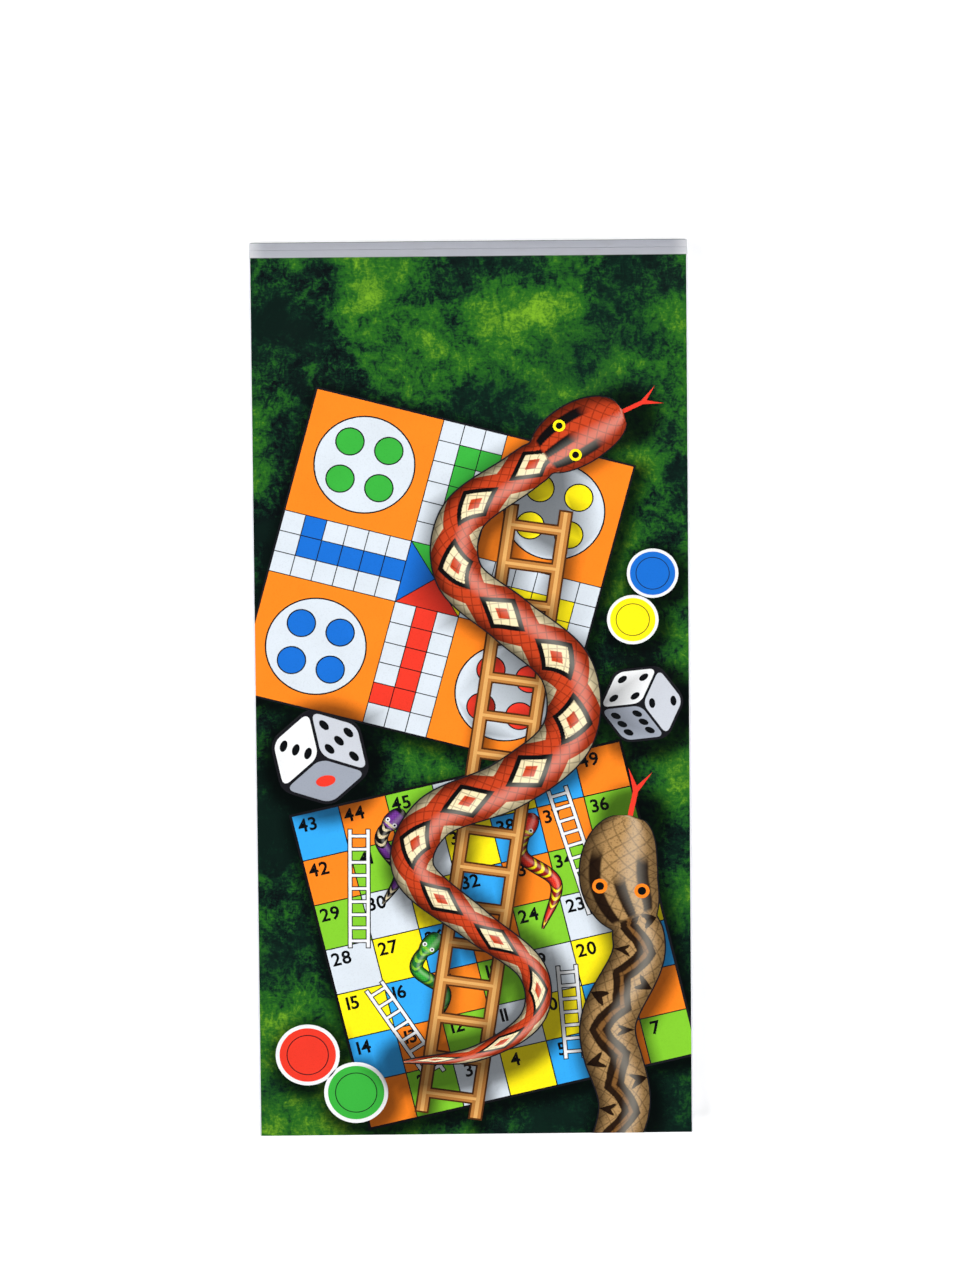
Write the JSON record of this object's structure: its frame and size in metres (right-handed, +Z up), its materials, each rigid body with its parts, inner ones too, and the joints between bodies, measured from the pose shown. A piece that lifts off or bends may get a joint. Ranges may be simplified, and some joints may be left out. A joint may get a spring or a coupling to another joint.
{
  "type": "snakes and ladders board",
  "caption": "Folding snakes and ladders board: laminated printed leaves with white edge strips, joined by a cloth hinge, closed like a book.",
  "frame": {"origin": "under the middle of the closed board, on the surface that its rear cover lies on", "axes": "+Z up through the closed board's thickness, towards the front cover; +Y towards the head, along the spine; the spine is at -X"},
  "size_m": [0.217, 0.457, 0.0274],
  "materials": {
    "cover_print": "glossy laminated print, mottled green",
    "play_print": "glossy laminated print, coloured squares",
    "core_board": "raw fibreboard",
    "edge_band": "satin white plastic strip",
    "hinge_cloth": "woven book cloth"
  },
  "bodies": {
    "rear_leaf": {"rear_core": "core_board", "rear_cover_sheet": "cover_print", "rear_play_sheet": "play_print", "rear_head_band": "edge_band", "rear_tail_band": "edge_band", "rear_fore_band": "edge_band", "rear_spine_band": "edge_band", "hinge_cloth": "hinge_cloth"},
    "front_leaf": {"front_core": "core_board", "front_cover_sheet": "cover_print", "front_play_sheet": "play_print", "front_head_band": "edge_band", "front_tail_band": "edge_band", "front_fore_band": "edge_band", "front_spine_band": "edge_band"}
  },
  "joints": [
    {"name": "cover_fold", "type": "hinge", "parent": "rear_leaf", "child": "front_leaf", "pos_m": [-0.10865, 0, 0.0137], "axis": [0, -1, 0], "range_deg": [0, 180], "deforming": ["hinge_cloth"]}
  ]
}
